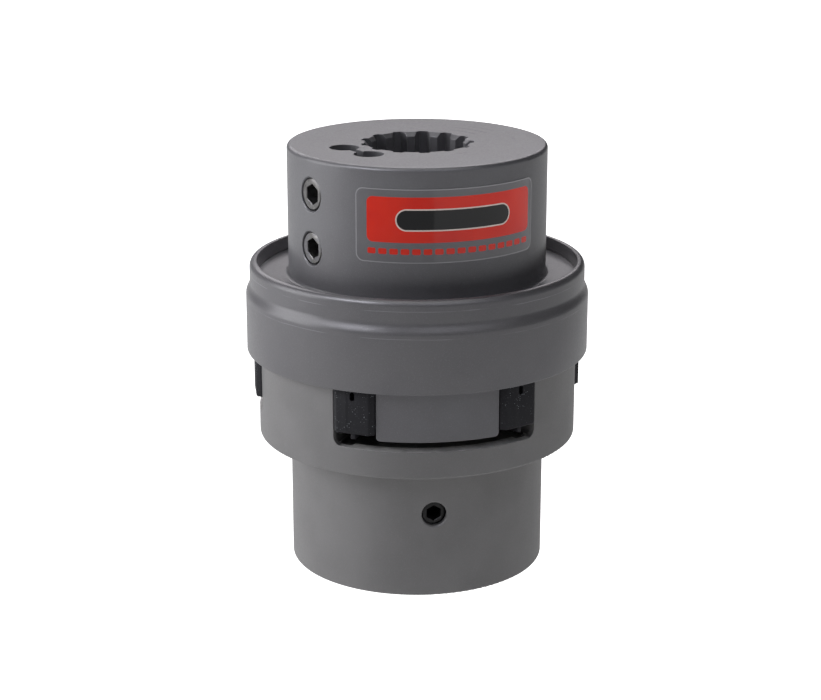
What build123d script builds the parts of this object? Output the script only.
from build123d import *
import math
import os

# A collar-retained jaw coupling. Two hubs face each other with three jaws each, six rubber
# load cushions sit in the slots between the jaws, and a thin collar on the upper hub keeps
# the cushions in. Z is the shaft axis and z = 0 is the lower hub's end face. Azimuths are
# degrees about Z, 0 at -Y and growing towards +X. Lengths are millimetres.

# ---- Hubs, listed from the lower end face upwards ----
lower_boss_length = 52.8
lower_flange_thickness = 10.9
hub_gap = 41.9                  # between the two flange faces
upper_flange_thickness = 12.4
upper_boss_length = 51.3
lower_boss_radius = 50.8
upper_boss_radius = 50.8
flange_radius = 63.3
end_edge_radius = 1.6           # rounding of the outer edge of the upper end face
lower_edge_radius = 1.0
flange_edge_radius = 0.8
boss_root_radius = 1.5

# ---- Jaws and the windows between them ----
jaw_inner_radius = 31.8
jaw_end_gap = 3.9               # from a jaw's end to the other hub's face
slot_azimuth = 29.55            # cushion slot, measured from the middle of an upper jaw
window_corner_radius = 3.5
jaw_end_radius = 1.6
face_rim_width = 5.5            # raised rim of a hub face inside each window
face_recess_depth = 1.5
root_relief_radius = 4.8
root_relief_cover = 3.1         # metal left outside the relief

# ---- Load cushions ----
cushion_width = 16.9
cushion_side_clearance = 0.3
cushion_stand_out = 1.6         # outer face beyond the flange
cushion_inner_distance = 33.0
cushion_end_gap = 6.1           # from a cushion's end to each hub face
cushion_chamfer = 1.9
cushion_edge_radius = 0.7
lug_width = 1.9
lug_height = 2.1
lug_length = 8.0
dimple_width = 2.0
dimple_height = 3.5
dimple_depth = 3.0

# ---- Collar ----
collar_skirt_length = 30.5      # below the upper flange's top face
collar_lip_height = 5.3         # above the upper flange's top face
collar_lip_overlap = 0.85       # how far the lip reaches in over the flange
collar_lip_flare = 0.6          # the lip's inner wall opens by this much upwards
collar_wall = 2.25
collar_band_wall = 2.85
collar_cushion_clearance = 0.3
collar_fit_clearance = 0.05     # sliding fit on the upper flange
collar_seat_gap = 0.1
collar_lip_radius = 1.4
shoulder_top_drop = 3.4         # from the flange's top face down to the start of the shoulder
shoulder_height = 6.2
collar_edge_chamfer = 0.5

# ---- Splined bore of the upper hub: 13 teeth, 8/16 pitch, 30 degree pressure angle ----
spline_teeth = 13
spline_pitch_radius = spline_teeth / 8 * 25.4 / 2
spline_tip_radius = 19.05
spline_root_radius = 22.2
spline_pressure_angle = 30.0
bore_mouth_chamfer = 1.6

# ---- Spline clamp: two axial holes and a slot free a tongue of the hub wall ----
clamp_azimuth = -60.0
clamp_hole_radius = 5.75
clamp_hole_centre_radius = 30.2
clamp_hole_half_angle = 15.2
clamp_slot_width = 3.0
clamp_hole_depth = 45.0

# ---- Set screws ----
clamp_screw_radius = 6.35
clamp_screw_top_depth = 14.2    # upper screw, below the end face
clamp_screw_spacing = 20.9
clamp_screw_recess = 0.9
clamp_screw_tip_gap = 0.3
clamp_screw_hex = 6.35          # across flats
key_screw_radius = 4.76
key_screw_height = 33.8         # above the lower end face
key_screw_recess = 1.6
key_screw_hex = 4.9
screw_fit_clearance = 0.05
screw_edge_chamfer = 0.9
hex_depth_share = 0.4           # of the screw's length
hole_mouth_chamfer = 0.55

# ---- Keyed bore of the lower hub ----
keyed_bore_radius = 22.225
keyway_width = 9.525
keyway_depth = 4.76             # at the keyway's side
keyed_bore_chamfer = 1.2

# ---- Clear film label on the upper boss ----
label_azimuth = 8.1
label_arc_length = 75.0
label_height = 28.0
label_middle_drop = 21.8        # from the upper end face to the label's middle
label_corner_radius = 3.0
label_thickness = 0.15
label_gap = 0.01

# ---- Heights that follow ----
lower_face_z = lower_boss_length + lower_flange_thickness
upper_face_z = lower_face_z + hub_gap
flange_top_z = upper_face_z + upper_flange_thickness
top_z = flange_top_z + upper_boss_length
jaw_length = hub_gap - jaw_end_gap
slot_half_width = cushion_width / 2 + cushion_side_clearance
cushion_outer_distance = flange_radius + cushion_stand_out
cushion_z = lower_face_z + hub_gap / 2

# Long enough for any cutter to pass right through
THROUGH = 400.0
EPS = 1e-3


def turned(shape, azimuth):
    """A shape drawn along local +X, turned to point at an azimuth."""
    return Rot(0, 0, azimuth - 90) * shape


def radial_cylinder(radius, inner, outer, azimuth, z):
    """A cylinder along a radius of the coupling, between two distances from its axis."""
    bar = Pos((inner + outer) / 2, 0, z) * Rot(0, 90, 0) * Cylinder(radius, outer - inner)
    return turned(bar, azimuth)


def upright(radius, bottom, top):
    """A cylinder on the shaft axis between two heights."""
    return Pos(0, 0, (bottom + top) / 2) * Cylinder(radius, top - bottom)


def level_edges(shape, z, longer_than=0.0):
    """Edges that lie wholly at one height and are longer than a length."""
    found = []
    for edge in shape.edges():
        box = edge.bounding_box()
        if abs(box.min.Z - z) < EPS and abs(box.max.Z - z) < EPS and edge.length > longer_than:
            found.append(edge)
    return found


# ---------------------------------------------------------------------------
# Jaws, drawn with the hub face at z = 0 and the jaws pointing up
# ---------------------------------------------------------------------------

def window_outline(half_angle):
    """The plan of one window: the space between the facing walls of two jaws."""
    reach = 1.5 * flange_radius
    turn = math.radians(half_angle)
    corners = []
    for along, side in ((0, -1), (reach, -1), (reach, 1), (0, 1)):
        across = slot_half_width
        x = along * math.cos(turn) - across * math.sin(turn)
        y = side * (along * math.sin(turn) + across * math.cos(turn))
        corners.append((x, y))
    return make_face(Polyline(*corners, close=True))


def window_cutter(half_angle):
    """Clears one window down to the hub face, with rounded corners at the jaw roots."""
    block = extrude(window_outline(half_angle), jaw_length + jaw_end_gap)
    walls = []
    for edge in level_edges(block, 0.0, flange_radius):
        if abs(edge.center().Y) > slot_half_width and edge.center().X < flange_radius:
            walls.append(edge)
    return fillet(walls, window_corner_radius)


def root_relief(side):
    """A bore along the foot of a jaw wall that stops short of the outside."""
    outer = flange_radius - root_relief_cover
    inner = jaw_inner_radius - root_relief_radius
    across = slot_half_width - root_relief_radius + 1.0
    height = root_relief_radius - 1.1
    bar = Rot(0, 90, 0) * Cylinder(root_relief_radius, outer - inner)
    return Pos((inner + outer) / 2, side * across, height) * bar


def jaw_crown(half_angle, window_azimuths):
    """Three jaws on a hub face at z = 0, and the cuts that go into the face."""
    crown = upright(flange_radius, 0, jaw_length) - upright(jaw_inner_radius, 0, jaw_length)
    face_cut = upright(jaw_inner_radius, -face_recess_depth, EPS)
    inner_disc = upright(flange_radius - face_rim_width, -face_recess_depth, EPS)
    for azimuth in window_azimuths:
        crown -= turned(window_cutter(half_angle), azimuth)
        recess = extrude(window_outline(half_angle), face_recess_depth + EPS)
        face_cut += turned(Pos(0, 0, -face_recess_depth) * recess, azimuth) & inner_disc
        for side in (-1, 1):
            relief = turned(root_relief(side), azimuth + side * half_angle)
            crown -= relief
            face_cut += relief
    ends = []
    for edge in level_edges(crown, jaw_length, jaw_end_radius):
        if edge.geom_type == GeomType.LINE:
            ends.append(edge)
    return fillet(ends, jaw_end_radius), face_cut


# ---------------------------------------------------------------------------
# Lower hub: keyed bore
# ---------------------------------------------------------------------------

def keyway_ceiling():
    """Distance of the keyway's flat ceiling from the shaft axis."""
    side_chord = math.sqrt(keyed_bore_radius**2 - (keyway_width / 2) ** 2)
    return side_chord + keyway_depth


def keyed_hub():
    boss = upright(lower_boss_radius, 0, lower_boss_length)
    boss = fillet(level_edges(boss, 0), lower_edge_radius)
    flange = upright(flange_radius, lower_boss_length, lower_face_z)
    flange = fillet(level_edges(flange, lower_boss_length), flange_edge_radius)
    crown, face_cut = jaw_crown(slot_azimuth, (0, 120, 240))
    hub = boss + flange
    hub = fillet(inner_corner(hub, lower_boss_length, lower_boss_radius), boss_root_radius)
    hub += Pos(0, 0, lower_face_z) * crown
    hub -= Pos(0, 0, lower_face_z) * face_cut
    hub -= upright(keyed_bore_radius, -1, lower_face_z + 1)
    slot = Box(keyway_ceiling(), keyway_width, THROUGH, align=(Align.MIN, Align.CENTER, Align.CENTER))
    hub -= turned(slot, 0) & upright(jaw_inner_radius, -1, lower_face_z + 1)
    mouth = Cone(keyed_bore_radius + keyed_bore_chamfer, keyed_bore_radius, keyed_bore_chamfer)
    hub -= Pos(0, 0, keyed_bore_chamfer / 2) * mouth
    hub -= radial_cylinder(key_screw_radius + screw_fit_clearance, keyed_bore_radius - 1,
                           lower_boss_radius + 1, 0, key_screw_height)
    hub -= hole_mouth(key_screw_radius, lower_boss_radius, 0, key_screw_height)
    return hub


def inner_corner(hub, z, radius):
    """The circular edge where a boss meets its flange."""
    found = []
    for edge in level_edges(hub, z):
        if edge.geom_type == GeomType.CIRCLE and abs(edge.radius - radius) < EPS:
            found.append(edge)
    return found


def hole_mouth(radius, surface_radius, azimuth, z):
    """A countersink where a radial screw hole comes out of a boss."""
    depth = 2.2
    wide = radius + screw_fit_clearance + hole_mouth_chamfer
    narrow = wide - depth
    cone = Rot(0, 90, 0) * Cone(narrow, wide, depth)
    return turned(Pos(surface_radius - depth / 2 + EPS, 0, z) * cone, azimuth)


# ---------------------------------------------------------------------------
# Upper hub: splined bore with a clamping tongue
# ---------------------------------------------------------------------------

def involute(angle):
    """The involute function of an angle in radians."""
    return math.tan(angle) - angle


def spline_space_half_angle(radius):
    """Half the angle that a tooth space takes up at a radius, in radians."""
    base_radius = spline_pitch_radius * math.cos(math.radians(spline_pressure_angle))
    at_pitch = math.pi / (2 * spline_teeth) + involute(math.radians(spline_pressure_angle))
    return at_pitch - involute(math.acos(base_radius / radius))


def spline_outline():
    """The splined bore in plan, with the middle of a tooth space at azimuth 0."""
    step = 2 * math.pi / spline_teeth
    middle_radius = (spline_tip_radius + spline_root_radius) / 2

    def point(radius, angle):
        return (radius * math.sin(angle), -radius * math.cos(angle))

    edges = []
    for tooth in range(spline_teeth):
        centre = tooth * step
        tip = spline_space_half_angle(spline_tip_radius)
        middle = spline_space_half_angle(middle_radius)
        root = spline_space_half_angle(spline_root_radius)
        next_tip = centre + step - tip
        edges.append(ThreePointArc(point(spline_tip_radius, centre - tip),
                                   point(middle_radius, centre - middle),
                                   point(spline_root_radius, centre - root)))
        edges.append(ThreePointArc(point(spline_root_radius, centre - root),
                                   point(spline_root_radius, centre),
                                   point(spline_root_radius, centre + root)))
        edges.append(ThreePointArc(point(spline_root_radius, centre + root),
                                   point(middle_radius, centre + middle),
                                   point(spline_tip_radius, centre + tip)))
        edges.append(ThreePointArc(point(spline_tip_radius, centre + tip),
                                   point(spline_tip_radius, (centre + tip + next_tip) / 2),
                                   point(spline_tip_radius, next_tip)))
    return make_face(Wire(edges))


def clamp_relief():
    """The two axial holes and the slot between them, open at the end face."""
    bottom = top_z - clamp_hole_depth
    cut = None
    for side in (-1, 1):
        hole = upright(clamp_hole_radius, bottom, top_z + 1)
        hole = turned(Pos(clamp_hole_centre_radius, 0, 0) * hole,
                      clamp_azimuth + side * clamp_hole_half_angle)
        cut = hole if cut is None else cut + hole
    half_turn = math.radians(clamp_hole_half_angle)
    slot_distance = clamp_hole_centre_radius * math.cos(half_turn)
    slot_length = 2 * clamp_hole_centre_radius * math.sin(half_turn)
    slot = Box(clamp_slot_width, slot_length, clamp_hole_depth + 1)
    middle = Pos(slot_distance, 0, bottom + (clamp_hole_depth + 1) / 2)
    return cut + turned(middle * slot, clamp_azimuth)


def clamp_slot_distance():
    """Distance of the clamp slot's middle plane from the shaft axis."""
    return clamp_hole_centre_radius * math.cos(math.radians(clamp_hole_half_angle))


def clamp_screw_heights():
    upper = top_z - clamp_screw_top_depth
    return {"clamp_screw_upper": upper, "clamp_screw_lower": upper - clamp_screw_spacing}


def splined_hub():
    boss = upright(upper_boss_radius, flange_top_z, top_z)
    boss = fillet(level_edges(boss, top_z), end_edge_radius)
    flange = upright(flange_radius, upper_face_z, flange_top_z)
    hub = boss + flange
    hub = fillet(inner_corner(hub, flange_top_z, upper_boss_radius), boss_root_radius)
    crown, face_cut = jaw_crown(60 - slot_azimuth, (0, 120, 240))
    facing_down = Pos(0, 0, upper_face_z) * Rot(180, 0, 0)
    hub += facing_down * crown
    hub -= facing_down * face_cut
    hub -= Pos(0, 0, upper_face_z - 1) * extrude(spline_outline(), top_z - upper_face_z + 2)
    mouth = Cone(spline_tip_radius, spline_tip_radius + bore_mouth_chamfer, bore_mouth_chamfer)
    hub -= Pos(0, 0, top_z - bore_mouth_chamfer / 2) * mouth
    hub -= clamp_relief()
    inner = clamp_slot_distance()
    for height in clamp_screw_heights().values():
        hub -= radial_cylinder(clamp_screw_radius + screw_fit_clearance, inner,
                               upper_boss_radius + 1, clamp_azimuth, height)
        hub -= hole_mouth(clamp_screw_radius, upper_boss_radius, clamp_azimuth, height)
    return hub


# ---------------------------------------------------------------------------
# Load cushions
# ---------------------------------------------------------------------------

def cushion():
    """One cushion, its long side along +X and its middle at z = 0."""
    length = cushion_outer_distance - cushion_inner_distance
    height = hub_gap - 2 * cushion_end_gap
    middle = (cushion_outer_distance + cushion_inner_distance) / 2
    block = Pos(middle, 0, 0) * Box(length, cushion_width, height)
    corners = []
    for edge in block.edges().filter_by(Axis.Z):
        if edge.center().X > middle:
            corners.append(edge)
    block = chamfer(corners, cushion_chamfer)
    outer_rims = []
    for end in (-1, 1):
        outer_rims += level_edges(block, end * height / 2)
    block = fillet(outer_rims, cushion_edge_radius)
    lug_middle = cushion_outer_distance - cushion_edge_radius - lug_length / 2
    for end in (-1, 1):
        lug = Box(lug_length, lug_width, lug_height + 1)
        block += Pos(lug_middle, 0, end * (height / 2 + (lug_height - 1) / 2)) * lug
    dimple = SlotOverall(dimple_height, dimple_width)
    cutter = extrude(dimple, dimple_depth)
    placed = Pos(cushion_outer_distance - dimple_depth + EPS, 0, 0) * Rot(0, 90, 0) * cutter
    return block - placed


# ---------------------------------------------------------------------------
# Collar
# ---------------------------------------------------------------------------

def collar():
    cushion_corner = math.hypot(cushion_outer_distance, cushion_width / 2 - cushion_chamfer)
    skirt_inner = cushion_corner + collar_cushion_clearance
    skirt_outer = skirt_inner + collar_wall
    guide = flange_radius + collar_fit_clearance
    band_outer = guide + collar_band_wall
    lip_inner = flange_radius - collar_lip_overlap
    bottom = flange_top_z - collar_skirt_length
    seat = flange_top_z + collar_seat_gap
    lip_top = flange_top_z + collar_lip_height
    shoulder_top = flange_top_z - shoulder_top_drop
    shoulder_bottom = shoulder_top - shoulder_height
    up = (0, 0, 1)
    down = (0, 0, -1)
    outer_shoulder = Spline((skirt_outer, 0, shoulder_bottom), (band_outer, 0, shoulder_top),
                            tangents=[up, up])
    inner_shoulder = Spline((guide, 0, shoulder_top), (skirt_inner, 0, shoulder_bottom),
                            tangents=[down, down])
    outline = [
        Line((skirt_inner, 0, bottom), (skirt_outer, 0, bottom)),
        Line((skirt_outer, 0, bottom), (skirt_outer, 0, shoulder_bottom)),
        outer_shoulder,
        Line((band_outer, 0, shoulder_top), (band_outer, 0, lip_top)),
        Line((band_outer, 0, lip_top), (lip_inner + collar_lip_flare, 0, lip_top)),
        Line((lip_inner + collar_lip_flare, 0, lip_top), (lip_inner, 0, seat)),
        Line((lip_inner, 0, seat), (guide, 0, seat)),
        Line((guide, 0, seat), (guide, 0, shoulder_top)),
        inner_shoulder,
        Line((skirt_inner, 0, shoulder_bottom), (skirt_inner, 0, bottom)),
    ]
    ring = revolve(make_face(Wire(outline)), Axis.Z)
    ring = fillet(level_edges(ring, lip_top), collar_lip_radius)
    return chamfer(level_edges(ring, bottom), collar_edge_chamfer)


# ---------------------------------------------------------------------------
# Set screws
# ---------------------------------------------------------------------------

def set_screw(radius, tip, face, hex_size, azimuth, z):
    """A socket set screw along a radius, from its tip to its outer face."""
    length = face - tip
    body = Pos(0, 0, length / 2) * Cylinder(radius, length)
    body = chamfer(level_edges(body, length), screw_edge_chamfer)
    body = chamfer(level_edges(body, 0), screw_edge_chamfer)
    socket = RegularPolygon(hex_size / 2, 6, major_radius=False)
    depth = hex_depth_share * length
    body -= Pos(0, 0, length - depth) * extrude(socket, depth + 1)
    along_radius = Pos(tip, 0, z) * Rot(0, 90, 0)
    return turned(along_radius * body, azimuth)


def clamp_screw(z):
    tip = clamp_slot_distance() - clamp_slot_width / 2 + clamp_screw_tip_gap
    face = upper_boss_radius - clamp_screw_recess
    return set_screw(clamp_screw_radius, tip, face, clamp_screw_hex, clamp_azimuth, z)


def key_screw():
    tip = keyway_ceiling() + clamp_screw_tip_gap
    face = lower_boss_radius - key_screw_recess
    return set_screw(key_screw_radius, tip, face, key_screw_hex, 0, key_screw_height)


# ---------------------------------------------------------------------------
# Label
# ---------------------------------------------------------------------------

def label():
    """A thin film wrapped on the upper boss, with rounded corners."""
    inner = upper_boss_radius + label_gap
    outer = inner + label_thickness
    middle = top_z - label_middle_drop
    low = middle - label_height / 2
    high = middle + label_height / 2
    half_turn = math.degrees(label_arc_length / 2 / upper_boss_radius)
    section = make_face(Polyline((inner, 0, low), (outer, 0, low), (outer, 0, high),
                                 (inner, 0, high), close=True))
    film = revolve(section, Axis.Z, 2 * half_turn)
    corners = []
    for edge in film.edges():
        if edge.geom_type == GeomType.LINE and edge.length < 2 * label_thickness:
            corners.append(edge)
    film = fillet(corners, label_corner_radius)
    return turned(Rot(0, 0, -half_turn) * film, label_azimuth)


# ---------------------------------------------------------------------------
# Write every piece
# ---------------------------------------------------------------------------

def cushion_azimuths():
    """The six slots, in order round the coupling from the front right."""
    azimuths = []
    for window in (0, 120, 240):
        azimuths.append(window + slot_azimuth)
        azimuths.append(window + 120 - slot_azimuth)
    return azimuths


def pieces():
    made = {
        "keyed_hub": keyed_hub(),
        "splined_hub": splined_hub(),
        "retaining_collar": collar(),
        "key_screw": key_screw(),
        "label": label(),
    }
    for name, height in clamp_screw_heights().items():
        made[name] = clamp_screw(height)
    block = cushion()
    for number, azimuth in enumerate(cushion_azimuths(), start=1):
        made[f"cushion_{number}"] = turned(Pos(0, 0, cushion_z) * block, azimuth)
    return made


os.makedirs("parts", exist_ok=True)
for node, shape in pieces().items():
    export_step(shape, f"parts/{node}.step")
    print(node, round(shape.volume), shape.bounding_box().size)
